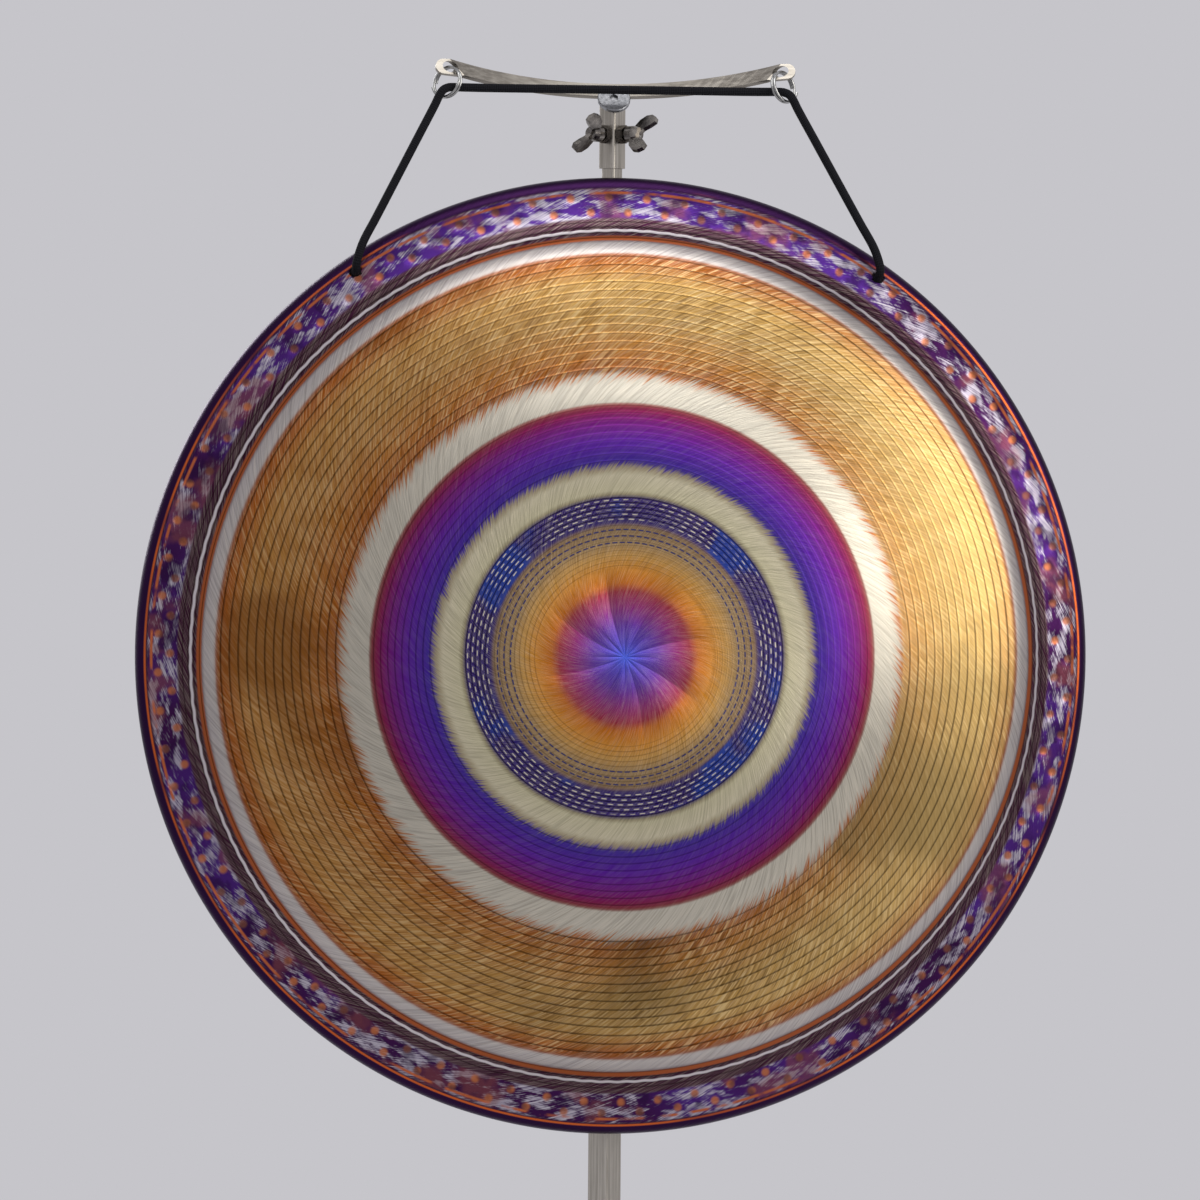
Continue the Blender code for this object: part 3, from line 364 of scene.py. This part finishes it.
def face_detail(r_mm, turn):
    """Spun grooves, hammered dimples and the rosette's facets, as a height in metres."""
    height = np.zeros(np.broadcast(r_mm, turn).shape)
    for low, high, pitch, depth in (
        (GOLD_FROM, GOLD_TO, GOLD_PITCH, 0.34),
        (PURPLE_FROM, PURPLE_TO, PURPLE_PITCH, 0.22),
        (TRIM_FROM, HAMMERED_FROM, TRIM_PITCH, 0.26),
        (ROSETTE_EDGE, DASHES_FROM, CENTRE_PITCH, 0.14),
    ):
        phase = (r_mm - low) / pitch + turn / (2 * pi)
        part = phase - np.floor(phase)
        saw = np.where(part < 0.82, part / 0.82, (1 - part) / 0.18)
        height += saw * depth * inside(r_mm, low, high, pitch / 2)
    for row, centre in enumerate(DIMPLE_ROWS):
        step = 2 * pi / DIMPLES
        wobble = 0.9 * np.sin(turn * 7 + row * 2.1)
        near = (turn / step + 0.5 * row) % 1.0 - 0.5
        across = near * step * centre
        away = np.hypot(across, r_mm - centre - wobble) / DIMPLE_RADIUS
        height -= 0.75 * np.clip(1 - away**2, 0, None) ** 1.5
    petal = np.abs(np.cos(turn * ROSETTE_PETALS / 2 + r_mm * 0.012))
    swell = np.clip(r_mm / 14, 0, 1) * np.clip((ROSETTE_EDGE - r_mm) / 12, 0, 1)
    height += 1.3 * (petal - 0.5) * swell
    inner = np.abs(np.sin(turn * ROSETTE_PETALS / 2))
    height += 0.9 * (inner - 0.5) * np.clip(r_mm / 6, 0, 1) * np.clip((24 - r_mm) / 10, 0, 1)
    return height * MM


def cut_cord_holes(plate):
    """Cuts the cord's two holes through the plate's shoulder."""
    work = bmesh.new()
    for side in (-1, 1):
        turn = Matrix.Rotation(pi / 2, 4, "X")
        place = Matrix.Translation((side * CORD_HOLE.x, CORD_HOLE.y, CORD_HOLE.z))
        bmesh.ops.create_cone(
            work, cap_ends=True, segments=32, radius1=CORD_HOLE_RADIUS, radius2=CORD_HOLE_RADIUS,
            depth=2 * SHOULDER_RADIUS, matrix=place @ turn,
        )
    mesh = bpy.data.meshes.new("cord_hole_cutters")
    work.to_mesh(mesh)
    work.free()
    cutter = bpy.data.objects.new("cord_hole_cutters", mesh)
    bpy.context.collection.objects.link(cutter)
    modifier = plate.modifiers.new("Holes", "BOOLEAN")
    modifier.operation = "DIFFERENCE"
    modifier.solver = "EXACT"
    modifier.object = cutter
    bpy.context.view_layer.update()
    whole = plate.data
    cut = bpy.data.meshes.new_from_object(plate.evaluated_get(bpy.context.evaluated_depsgraph_get()))
    plate.modifiers.clear()
    plate.data = cut
    cut.name = plate.name
    bpy.data.meshes.remove(whole)
    bpy.data.objects.remove(cutter, do_unlink=True)
    bpy.data.meshes.remove(mesh)


def gong_plate():
    """The plate's whole surface as one fine mesh: front, shoulder, turned-back rim and back."""
    shoulder = GONG_RADIUS - SHOULDER_RADIUS
    count = int(shoulder / FACE_RING_SPACING)
    front_r = np.linspace(0.0005, shoulder, count)
    lean = np.arctan2(RIM_TAPER, RIM_DEPTH - SHOULDER_RADIUS)
    arc = (pi / 2) - (pi / 2 + lean) * np.arange(1, 13) / 12
    inner = SHOULDER_RADIUS - PLATE_THICKNESS
    outer_arc = np.stack([shoulder + SHOULDER_RADIUS * np.cos(arc), SHOULDER_RADIUS * (np.sin(arc) - 1)], 1)
    inner_arc = np.stack([shoulder + inner * np.cos(arc), inner * np.sin(arc) - SHOULDER_RADIUS], 1)
    drop = RIM_DEPTH + outer_arc[-1, 1]
    edge = outer_arc[-1, 0] - drop * np.tan(lean)
    rim = np.linspace(outer_arc[-1], (edge, -RIM_DEPTH + 0.0003), 8)[1:]
    turned = np.array([(edge - 0.0003, -RIM_DEPTH), (edge - PLATE_THICKNESS + 0.0003, -RIM_DEPTH)])
    back_edge = np.array((edge - PLATE_THICKNESS, -RIM_DEPTH + 0.0003))
    inner_rim = np.linspace(back_edge, inner_arc[-1], 8)[:-1]
    back_r = np.linspace(shoulder, 0.0008, BACK_RINGS)
    rise = face_rise(back_r)
    slope = np.gradient(rise, back_r)
    long = np.sqrt(1 + slope**2)
    back = np.stack([back_r + PLATE_THICKNESS * slope / long, rise - PLATE_THICKNESS / long], 1)
    back[:, 0] = np.maximum(back[:, 0], 0.0006)
    plain = np.concatenate([outer_arc, rim, turned, inner_rim, inner_arc[::-1], back])
    turn = np.linspace(0, 2 * pi, GONG_SEGMENTS, endpoint=False)
    front_h = face_rise(front_r)[:, None] + face_detail(front_r[:, None] / MM, turn[None])
    radii = np.concatenate([np.repeat(front_r[:, None], GONG_SEGMENTS, 1), np.repeat(plain[:, :1], GONG_SEGMENTS, 1)])
    heights = np.concatenate([front_h, np.repeat(plain[:, 1:], GONG_SEGMENTS, 1)])
    points = np.stack([
        GONG_CENTRE.x + radii * np.cos(turn),
        GONG_CENTRE.y - heights,
        GONG_CENTRE.z + radii * np.sin(turn),
    ], axis=-1).reshape(-1, 3)
    faces = grid_faces(len(radii), GONG_SEGMENTS)
    middle_front, middle_back = len(points), len(points) + 1
    tip = float(front_h[0].mean())
    points = np.concatenate([points, [
        (GONG_CENTRE.x, GONG_CENTRE.y - tip, GONG_CENTRE.z),
        (GONG_CENTRE.x, GONG_CENTRE.y - float(back[-1, 1]), GONG_CENTRE.z),
    ]])
    loops = [tuple(f) for f in faces[:, ::-1]]
    last = (len(radii) - 1) * GONG_SEGMENTS
    for k in range(GONG_SEGMENTS):
        j = (k + 1) % GONG_SEGMENTS
        loops.append((middle_front, k, j))
        loops.append((middle_back, last + j, last + k))
    plate = mesh_piece("gong_face", points.tolist(), loops, gong_material(), 180.0)
    cut_cord_holes(plate)
    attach(plate, "gong")
    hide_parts("gong_plate")
    return plate


FACE_COLOURS = (
    (0.0, "#2f55d6"), (9.0, "#4338b8"), (20.0, "#5c2a9c"), (32.0, "#8a2470"), (41.0, "#9c3040"),
    (46.0, "#c06a1a"), (55.0, "#c9842a"), (63.0, "#c09048"), (71.0, "#9c8058"), (81.0, "#8a6f50"),
    (83.5, "#2e2068"), (98.8, "#33206c"), (100.5, "#8f8668"), (103.0, "#bfb898"), (113.0, "#c4bca0"),
    (117.5, "#94866a"), (120.0, "#3c2a8c"), (134.0, "#562290"), (146.0, "#6c1c70"), (153.0, "#7a1c48"),
    (156.8, "#7a3a38"), (158.2, "#b6b0a2"), (172.0, "#b8b2a4"), (177.0, "#94501c"), (192.0, "#a87030"),
    (212.0, "#b08a4c"), (233.0, "#b8904e"), (246.0, "#a05a22"), (250.6, "#8c4c28"), (252.2, "#b6b0ac"),
    (258.0, "#b2aaa8"), (260.5, "#3c1830"),
)
FACE_REACH = 300.0


def gong_material():
    """Heat-tinted bronze: bands of colour by radius, with brushed strokes, grooves and dimples; painted shade along the
    grooves and on the shoulder, and painted light and shade on the gold band's right and left.
    """
    g = Graph("tinted_bronze_with_painted_light")
    x, y, z = g.split(g.place())
    side = g.math("MULTIPLY", x, 1000.0)
    rise = g.math("MULTIPLY", g.math("SUBTRACT", z, GONG_CENTRE.z), 1000.0)
    r = g.math("SQRT", g.math("ADD", g.math("MULTIPLY", side, side), g.math("MULTIPLY", rise, rise)))
    turn = g.math("ARCTAN2", rise, side)

    def strokes(shear, around, along, offset=0.0, detail=2.0):
        """Streaks that lean by shear radians for each 100 mm of radius."""
        leaning = g.math("MULTIPLY_ADD", r, shear / 100.0, turn)
        vector = g.combine(
            g.math("MULTIPLY", g.math("COSINE", leaning), around),
            g.math("MULTIPLY", g.math("SINE", leaning), around),
            g.math("MULTIPLY_ADD", r, 1.0 / along, offset),
        )
        return g.noise(vector, 1.0, detail, 0.6)

    fur = strokes(0.62, 150.0, 26.0)
    fine = strokes(0.9, 230.0, 9.0, 30.0)
    soft = g.noise(g.place(), 9.0, 2.0)
    turns = g.math("DIVIDE", turn, 2 * pi)
    ragged = g.math("SUBTRACT", fur, 0.5)
    shaggy = g.math("MAXIMUM", g.between(r, 167.0, 188.0, 3.0),
                    g.math("MULTIPLY", g.between(r, 113.0, 124.0, 3.0), 0.5))
    push = g.math("MULTIPLY", ragged, g.math("MULTIPLY_ADD", shaggy, 26.0, 0.8))
    bent = g.math("ADD", r, push)
    bands = g.ramp(g.math("DIVIDE", bent, FACE_REACH), [(a / FACE_REACH, c) for a, c in FACE_COLOURS])
    purple = g.between(r, PURPLE_FROM, PURPLE_TO, 1.5)
    calm = g.math("MULTIPLY_ADD", purple, -0.75, 1.0)
    light = g.math("MULTIPLY", g.step(fine, 0.40, 0.72), g.math("MULTIPLY", calm, 0.38))
    colour = g.mix(light, bands, g.mix(0.5, bands, rgb("#f0e4cc")))
    shade = g.math("MULTIPLY", g.step(fur, 0.58, 0.34), g.math("MULTIPLY", calm, 0.34))
    colour = g.mix(shade, colour, g.mix(0.75, colour, rgb("#1c0c10")))

    gold = g.between(r, GOLD_FROM, GOLD_TO - 1.5, 1.5)
    groove = g.math("FRACT", g.math("ADD", g.math("DIVIDE", g.math("SUBTRACT", r, GOLD_FROM), GOLD_PITCH), turns))
    twist = g.math("MULTIPLY_ADD", groove, 0.030, turn)
    rope = g.noise(g.combine(g.math("MULTIPLY", g.math("COSINE", twist), 135.0),
                             g.math("MULTIPLY", g.math("SINE", twist), 135.0), g.math("MULTIPLY", r, 0.05)), 1.0, 2.0, 0.6)
    colour = g.mix(g.math("MULTIPLY", g.step(rope, 0.52, 0.66), g.math("MULTIPLY", gold, 0.42)), colour, rgb("#e8cf98"))
    colour = g.mix(g.math("MULTIPLY", g.step(rope, 0.48, 0.34), g.math("MULTIPLY", gold, 0.50)), colour, rgb("#4c3216"))
    blotch = g.math("MULTIPLY", g.step(g.noise(g.place(), 6.5, 2.0), 0.58, 0.70), gold)
    colour = g.mix(g.math("MULTIPLY", blotch, 0.60), colour, rgb("#3c3018"))
    # Painted shade: the gold band darkened to a deeper orange towards the gong's left side.
    painted_shade_left = g.math("MULTIPLY", g.step(side, 60.0, -260.0), gold)
    colour = g.mix(g.math("MULTIPLY", painted_shade_left, 0.45), colour, rgb("#9a5216"))
    # Painted light: the gold band paled towards the gong's right side, where the key light falls.
    painted_light_right = g.math("MULTIPLY", g.step(side, 60.0, 240.0), gold)
    colour = g.mix(g.math("MULTIPLY", painted_light_right, 0.40), colour, rgb("#e6c27c"))
    trim = g.between(bent, 259.6, 262.6, 0.7)
    colour = g.mix(trim, colour, rgb("#a05430"))

    # Painted shade: a near-black line along the steep wall of each spun groove in the gold, purple, trim and centre
    # bands.
    dark = None
    for low, high, pitch, weight in (
        (GOLD_FROM, GOLD_TO - 1.0, GOLD_PITCH, 0.80),
        (PURPLE_FROM, PURPLE_TO, PURPLE_PITCH, 0.55),
        (TRIM_FROM, HAMMERED_FROM, TRIM_PITCH, 0.75),
        (ROSETTE_EDGE, DASHES_FROM, CENTRE_PITCH, 0.40),
    ):
        phase = g.math("FRACT", g.math("ADD", g.math("DIVIDE", g.math("SUBTRACT", r, low), pitch), turns))
        line = g.math("SUBTRACT", g.step(phase, 0.66, 0.86), g.step(phase, 0.90, 1.0))
        line = g.math("MULTIPLY", line, g.math("MULTIPLY", g.between(r, low, high, 0.8), weight))
        dark = line if dark is None else g.math("MAXIMUM", dark, line)
    colour = g.mix(dark, colour, g.mix(0.82, colour, rgb("#160806")))

    wave = g.math("MULTIPLY", g.math("SINE", g.math("MULTIPLY", turn, 150.0)), 0.18)
    bright = g.math("ADD", r, wave)
    silver = g.between(bright, 265.2, 266.8, 0.4)
    colour = g.mix(silver, colour, rgb("#cfc7c9"))

    dashes = g.between(r, DASHES_FROM, DASHES_TO, 0.6)
    patches = g.step(g.noise(g.place(), 26.0, 2.0), 0.50, 0.62)
    colour = g.mix(g.math("MULTIPLY", patches, g.math("MULTIPLY", dashes, 0.8)), colour, rgb("#2a4496"))
    dash = rule = None
    for row in range(5):
        centre = DASHES_FROM + 2.4 + row * 3.0
        number = 84.0 + row * 4.0
        cell = g.math("FRACT", g.math("ADD", g.math("MULTIPLY", turns, number), row * 0.37))
        mark = g.math("MULTIPLY", g.between(r, centre - 0.30, centre + 0.30, 0.22), g.between(cell, 0.18, 0.70, 0.08))
        dash = mark if dash is None else g.math("MAXIMUM", dash, mark)
        line = g.between(r, centre + 1.0, centre + 1.7, 0.25)
        rule = line if rule is None else g.math("MAXIMUM", rule, line)
    worn = g.math("MULTIPLY_ADD", g.step(g.noise(g.place(), 40.0, 2.0), 0.35, 0.55), 0.75, 0.15)
    colour = g.mix(g.math("MULTIPLY", rule, 0.8), colour, rgb("#120a24"))
    colour = g.mix(g.math("MULTIPLY", dash, worn), colour, rgb("#ddd4bc"))
    blue = None
    for row in range(3):
        centre = 71.0 + row * 4.0
        cell = g.math("FRACT", g.math("MULTIPLY", turns, 96.0 + row * 5.0))
        mark = g.math("MULTIPLY", g.between(r, centre - 0.4, centre + 0.4, 0.25), g.between(cell, 0.1, 0.8, 0.08))
        blue = mark if blue is None else g.math("MAXIMUM", blue, mark)
    colour = g.mix(blue, colour, rgb("#2b3468"))

    hammered = g.between(r, HAMMERED_FROM + 1.0, HAMMERED_TO + 0.5, 1.0)
    flow = g.combine(g.math("MULTIPLY", g.math("COSINE", turn), 17.0),
                     g.math("MULTIPLY", g.math("SINE", turn), 17.0), g.math("MULTIPLY", r, 0.17))
    glints = g.math("MULTIPLY_ADD", g.math("SUBTRACT", fine, 0.5), 0.35, g.noise(flow, 1.0, 3.0, 0.6))
    patina = g.noise(g.place(), 60.0, 3.0)
    silver_streak = g.mix(g.step(fine, 0.35, 0.65), rgb("#7d7488"), rgb("#b9b2bc"))
    violet = g.mix(g.step(soft, 0.42, 0.60), rgb("#4a2878"), rgb("#3a1844"))
    band = g.mix(g.step(glints, 0.47, 0.62), violet, silver_streak)
    rust = g.step(g.noise(g.place(), 34.0, 3.0), 0.52, 0.64)
    band = g.mix(g.math("MULTIPLY", rust, 0.55), band, rgb("#7c4440"))
    band = g.mix(g.math("MULTIPLY", g.step(patina, 0.52, 0.66), 0.6), band, rgb("#2a1438"))
    colour = g.mix(hammered, colour, band)
    ridge = g.math("MULTIPLY", g.between(r, 289.2, 290.8, 0.6), g.step(patina, 0.38, 0.52))
    colour = g.mix(ridge, colour, rgb("#b4603c"))
    pits = None
    for row, centre in enumerate(DIMPLE_ROWS):
        wobble = g.math("MULTIPLY", g.math("SINE", g.math("MULTIPLY_ADD", turn, 7.0, row * 2.1)), 0.9)
        cell = g.math("SUBTRACT", g.math("FRACT", g.math("MULTIPLY_ADD", turns, float(DIMPLES), 0.5 * row)), 0.5)
        across = g.math("MULTIPLY", cell, 2 * pi * centre / DIMPLES)
        up = g.math("SUBTRACT", g.math("SUBTRACT", r, centre), wobble)
        away = g.math("SQRT", g.math("ADD", g.math("MULTIPLY", across, across), g.math("MULTIPLY", up, up)))
        pit = g.math("SUBTRACT", 1.0, g.step(away, 1.4, 3.6))
        pits = pit if pits is None else g.math("MAXIMUM", pits, pit)
    copper = g.mix(g.step(patina, 0.42, 0.60), rgb("#b46a42"), rgb("#704438"))
    colour = g.mix(g.math("MULTIPLY", pits, 0.85), colour, copper)

    # Painted shade: the shoulder past the hammered band darkened to a deep purple, where the plate turns sideways.
    edge = g.step(r, HAMMERED_TO, HAMMERED_TO + 1.6)
    colour = g.mix(edge, colour, rgb("#2c1536"))
    heat = g.math("MULTIPLY", g.between(r, 293.4, 294.6, 0.5), g.step(soft, 0.42, 0.58))
    colour = g.mix(heat, colour, rgb("#c8602c"))
    reverse = g.mix(g.step(fine, 0.3, 0.7), rgb("#3a2c22"), rgb("#6a5236"))
    facing = g.tree.nodes.new("ShaderNodeNewGeometry")
    normal_y = g.split(facing.outputs["True Normal"])[1]
    back_side = g.step(normal_y, 0.1, 0.4)
    colour = g.mix(back_side, colour, reverse)
    grain = g.math("ADD", g.math("MULTIPLY", fine, 0.7), g.math("MULTIPLY", fur, 0.6))
    rough = g.math("MULTIPLY_ADD", fine, 0.16, 0.27)
    g.set(Base_Color=colour, Metallic=1.0, Roughness=rough, Normal=g.bump(grain, 0.00035, 0.5))
    return g.material


def metal(name, light, dark, roughness, along=(1.0, 1.0, 1.0), scale=60.0, grain=0.00012, metallic=1.0):
    """Brushed or cast metal, with streaks along the axis whose factor is small."""
    g = Graph(name)
    where = g.node("ShaderNodeVectorMath", g.place(), along, operation="MULTIPLY").outputs[0]
    streak = g.noise(where, scale, 4.0, 0.65)
    cloud = g.noise(g.place(), 45.0, 2.0)
    colour = g.mix(g.step(streak, 0.3, 0.7), rgb(dark), rgb(light))
    colour = g.mix(g.math("MULTIPLY", g.step(cloud, 0.5, 0.75), 0.25), colour, rgb(dark))
    rough = g.math("MULTIPLY_ADD", streak, 0.18, roughness)
    g.set(Base_Color=colour, Metallic=metallic, Roughness=rough, Normal=g.bump(streak, grain, 0.6))
    return g.material


def dull(name, colour, other, roughness, scale=400.0):
    """Moulded rubber, plastic or fibre with a fine grain."""
    g = Graph(name)
    grain = g.noise(g.place(), scale, 3.0)
    g.set(Base_Color=g.mix(grain, rgb(colour), rgb(other)), Roughness=roughness, Normal=g.bump(grain, 0.0002, 0.5))
    return g.material


def dress_nodes():
    """Gives each solid that stays in view its material."""
    upright = metal("brushed_tube", "#c4beb4", "#9c968c", 0.26, (1.0, 1.0, 0.02), 700.0, 0.00003)
    flat = metal("brushed_strip", "#a8a298", "#857f76", 0.24, (0.03, 1.0, 1.0), 400.0, 0.00002)
    turned = metal("turned_steel", "#a6a7aa", "#7a7b7e", 0.22, (1.0, 1.0, 1.0), 500.0)
    zinc = metal("dark_zinc", "#a9a39b", "#565250", 0.16, (1.0, 1.0, 1.0), 120.0)
    rubber = dull("foot_rubber_grain", "#141414", "#222222", 0.78)
    plastic = dull("cap_plastic_grain", "#181818", "#242424", 0.55)
    fibre = dull("knot_fibre", "#08080c", "#1c1c24", 0.7, 900.0)
    kinds = (
        (("mast_", "base_hub", "head_sleeve"), upright),
        (("hanger_bar", "base_plate"), flat),
        (("hanger_bolt",), turned),
        (("leg_cap",), plastic),
        (("foot_",), rubber),
        (("cord_knot",), fibre),
    )
    for name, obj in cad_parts.items():
        chosen = zinc
        if name.startswith("leg_") and not name.startswith(("leg_cap", "leg_bolt", "leg_nut")):
            chosen = flat
        for starts, made in kinds:
            if name.startswith(starts):
                chosen = made
        if obj.data.materials:
            for slot in obj.material_slots:
                slot.material = chosen
        else:
            obj.data.materials.append(chosen)


# Split rings
RING_OUTER_RADIUS = 0.0107
RING_WIRE = 0.0017
RING_COIL_GAP = 0.00048
RING_TURNS = 1.94
RING_ENDS_SHIFT = 0.25
RING_YAW = radians(40.0)
RING_LEAN = radians(17.0)
RING_CENTRE = Vector((0.106766, -0.019357, 1.309059))


def split_ring(side, material):
    inward = Vector((-side * cos(RING_YAW), -sin(RING_YAW), 0.0))
    lean = Matrix.Rotation(-RING_LEAN, 3, "X")
    inward, upward = lean @ inward, lean @ UP
    normal = inward.cross(upward).normalized() * side
    centre = Vector((side * RING_CENTRE.x, RING_CENTRE.y, RING_CENTRE.z))
    radius = RING_OUTER_RADIUS - RING_WIRE / 2
    count, sides = 150, 14
    points = []
    for k in range(count):
        turns = RING_TURNS * (k / (count - 1) - 0.5)
        turn = pi + 2 * pi * turns
        out = inward * cos(turn) + upward * sin(turn)
        middle = centre + out * radius + normal * (RING_WIRE + RING_COIL_GAP) * (turns + RING_ENDS_SHIFT)
        points += [
            tuple(middle + (out * cos(2 * pi * j / sides) + normal * sin(2 * pi * j / sides)) * RING_WIRE / 2)
            for j in range(sides)
        ]
    faces = [tuple(f) for f in grid_faces(count, sides)]
    faces += [tuple(range(sides))[::-1], tuple(range(len(points) - sides, len(points)))]
    name = "left" if side < 0 else "right"
    ring = mesh_piece(f"wire_ring_{name}", points, faces, material)
    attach(ring, "rings")
    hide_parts(f"split_ring_{name}")


def stage_and_lights():
    floor_mesh = bpy.data.meshes.new("floor")
    half = 5.0
    floor_mesh.from_pydata([(-half, -half, 0), (half, -half, 0), (half, half, 0), (-half, half, 0)], [], [(0, 1, 2, 3)])
    floor = bpy.data.objects.new("floor", floor_mesh)
    bpy.context.collection.objects.link(floor)
    g = Graph("floor_paint")
    cloud = g.noise(g.place(), 1.5, 4.0)
    g.set(Base_Color=g.mix(cloud, rgb("#cfcfd2"), rgb("#d9d9dc")), Roughness=0.8)
    floor_mesh.materials.append(g.material)
    world = bpy.data.worlds.new("studio")
    bpy.context.scene.world = world
    world.use_nodes = True
    background = world.node_tree.nodes["Background"]
    background.inputs["Color"].default_value = rgb("#c6c5ca")
    background.inputs["Strength"].default_value = 1.0
    for name, place, size, power, tint in (
        ("key", (2.4, -2.2, 1.9), 1.6, 40.0, (1.0, 0.97, 0.92)),
        ("top", (0.2, -1.6, 3.2), 1.8, 32.0, (1.0, 1.0, 1.0)),
        ("rear", (-1.6, 2.4, 2.2), 1.6, 30.0, (1.0, 1.0, 1.0)),
    ):
        data = bpy.data.lights.new(name, "AREA")
        data.size = size
        data.energy = power
        data.color = tint
        lamp = bpy.data.objects.new(name, data)
        bpy.context.collection.objects.link(lamp)
        lamp.location = place
        aim = Vector((0.0, 0.0, 0.95)) - Vector(place)
        lamp.rotation_mode = "QUATERNION"
        lamp.rotation_quaternion = aim.to_track_quat("-Z", "Y")
    bpy.context.scene.view_settings.view_transform = "Standard"


make_camera()
suspension_cord()
gong_plate()
chrome = metal("ring_chrome_wire", "#bcbcba", "#949492", 0.14, (1.0, 1.0, 1.0), 300.0, 0.00004)
for ring_side in (-1, 1):
    split_ring(ring_side, chrome)
dress_nodes()
stage_and_lights()
